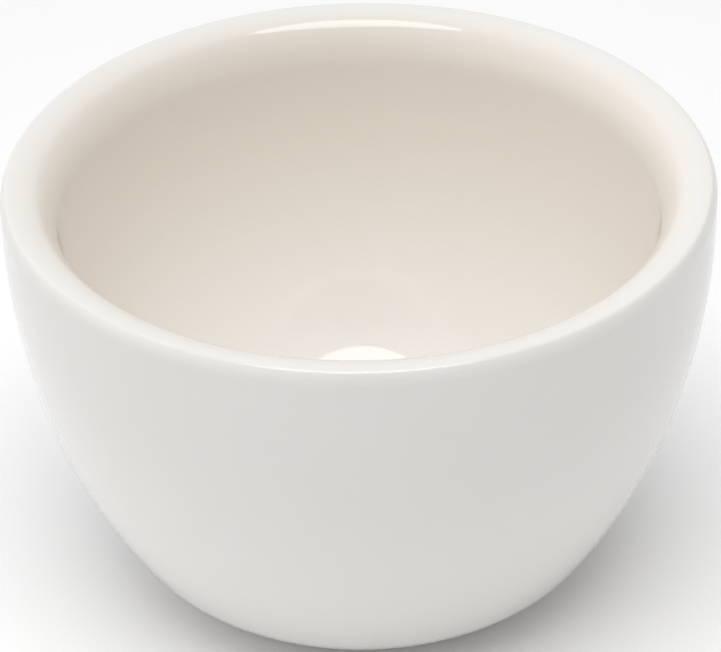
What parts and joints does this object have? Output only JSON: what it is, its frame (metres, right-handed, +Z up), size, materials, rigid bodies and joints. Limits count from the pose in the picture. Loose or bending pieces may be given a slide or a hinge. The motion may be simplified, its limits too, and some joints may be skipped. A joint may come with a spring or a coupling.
{
  "type": "shaving mug",
  "caption": "Round handleless ceramic shaving mug: a thick-walled glazed bowl with a soft rim, a dished floor and a low bare foot ring, for whipping up lather.",
  "frame": {"origin": "centre of the circle that the foot ring stands on", "axes": "+Z up along the mug's axis, out of its mouth; the mug is round, so X and Y are any two level directions at right angles"},
  "size_m": [0.102, 0.102, 0.0638],
  "materials": {
    "bare_clay": "matt fired clay, seen only on the wiped foot ring",
    "ivory_glaze": "glossy warm ivory white glaze"
  },
  "bodies": {
    "root": {"clay_body": "bare_clay", "glaze_coat": "ivory_glaze", "foot_recess_glaze": "ivory_glaze"}
  },
  "joints": []
}
